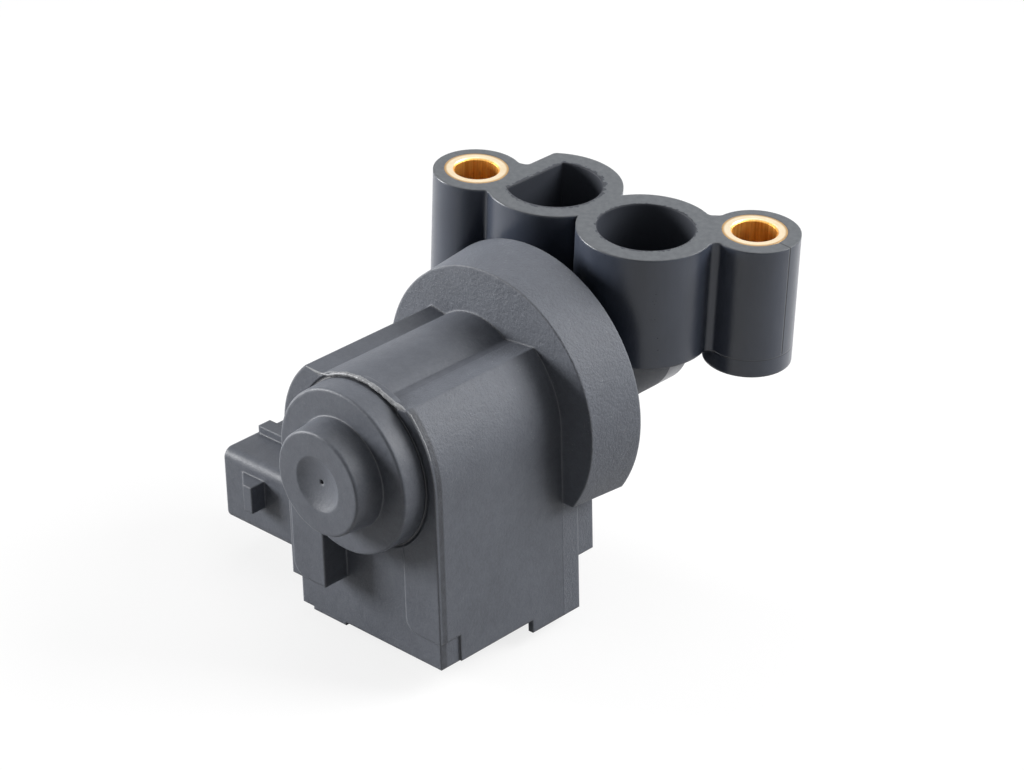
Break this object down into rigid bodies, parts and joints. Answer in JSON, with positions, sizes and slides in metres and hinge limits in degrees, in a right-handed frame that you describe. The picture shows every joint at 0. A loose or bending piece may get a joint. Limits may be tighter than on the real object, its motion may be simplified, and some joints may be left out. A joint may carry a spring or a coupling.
{
  "type": "idle air control valve",
  "caption": "Rotary idle air valve: side-by-side ports on a bolted flange, a twin-coil motor case and a bladed connector socket",
  "frame": {"origin": "midway between the two bolt holes, on the sealing face", "axes": "+Z points out of the sealing face, along the bolts; +Y runs along the motor's axis, from the closed end of the motor towards the ports; +X is across, towards the round port"},
  "size_m": [0.0604, 0.0731, 0.0551],
  "materials": {
    "valve_body_plastic": "smooth moulded black plastic with a satin sheen",
    "housing_plastic": "glass-filled black plastic with a fine mottled grain",
    "cover_plastic": "glass-filled black plastic, slightly smoother than the case",
    "bush_brass": "turned brass, faced flat",
    "seal_rubber": "smooth black seal rubber",
    "lamination_steel": "stamped electrical steel sheets",
    "bobbin_plastic": "natural moulded nylon",
    "winding_wire": "enamelled copper wire wound in layers",
    "terminal_tin": "tinned blade",
    "carrier_alloy": "die-cast and turned alloy",
    "spring_steel": "blued spring steel",
    "shaft_steel": "ground steel",
    "magnet_ferrite": "sintered magnet, ground outside",
    "hub_alloy": "turned alloy",
    "slide_plastic": "moulded heat-resistant plastic",
    "bearing_steel": "ground and polished bearing steel",
    "cage_steel": "pressed steel sheet"
  },
  "bodies": {
    "housing": {"valve_body": "valve_body_plastic", "motor_housing": "housing_plastic", "base_cover": "cover_plastic", "bush_left": "bush_brass", "bush_right": "bush_brass", "body_seal": "seal_rubber", "pole_frame": "lamination_steel", "core_bar": "lamination_steel", "coil_bobbin": "bobbin_plastic", "opening_coil": "winding_wire", "closing_coil": "winding_wire", "terminal_1": "terminal_tin", "terminal_2": "terminal_tin", "terminal_3": "terminal_tin", "bearing_carrier": "carrier_alloy", "preload_washer": "spring_steel", "front_outer_ring": "bearing_steel", "rear_outer_ring": "bearing_steel"},
    "rotor": {"rotor_shaft": "shaft_steel", "rotor_magnet": "magnet_ferrite", "magnet_hub": "hub_alloy", "rotary_slide": "slide_plastic", "front_inner_ring": "bearing_steel", "rear_inner_ring": "bearing_steel"},
    "front_balls": {"front_cage": "cage_steel", "front_ball_1": "bearing_steel", "front_ball_2": "bearing_steel", "front_ball_3": "bearing_steel", "front_ball_4": "bearing_steel", "front_ball_5": "bearing_steel", "front_ball_6": "bearing_steel", "front_ball_7": "bearing_steel"},
    "rear_balls": {"rear_cage": "cage_steel", "rear_ball_1": "bearing_steel", "rear_ball_2": "bearing_steel", "rear_ball_3": "bearing_steel", "rear_ball_4": "bearing_steel", "rear_ball_5": "bearing_steel", "rear_ball_6": "bearing_steel", "rear_ball_7": "bearing_steel"}
  },
  "joints": [
    {"name": "rotor_turn", "type": "hinge", "parent": "housing", "child": "rotor", "pos_m": [0, 0, -0.0234], "axis": [0, 1, 0], "range_deg": [-15, 45]},
    {"name": "front_balls_turn", "type": "hinge", "parent": "housing", "child": "front_balls", "pos_m": [0, 0, -0.0234], "axis": [0, 1, 0], "range_deg": [-5.4, 16.2]},
    {"name": "rear_balls_turn", "type": "hinge", "parent": "housing", "child": "rear_balls", "pos_m": [0, 0, -0.0234], "axis": [0, 1, 0], "range_deg": [-5.4, 16.2]}
  ],
  "couplings": [
    {"joint": "front_balls_turn", "follows": "rotor_turn", "ratio": 0.36},
    {"joint": "rear_balls_turn", "follows": "rotor_turn", "ratio": 0.36}
  ]
}
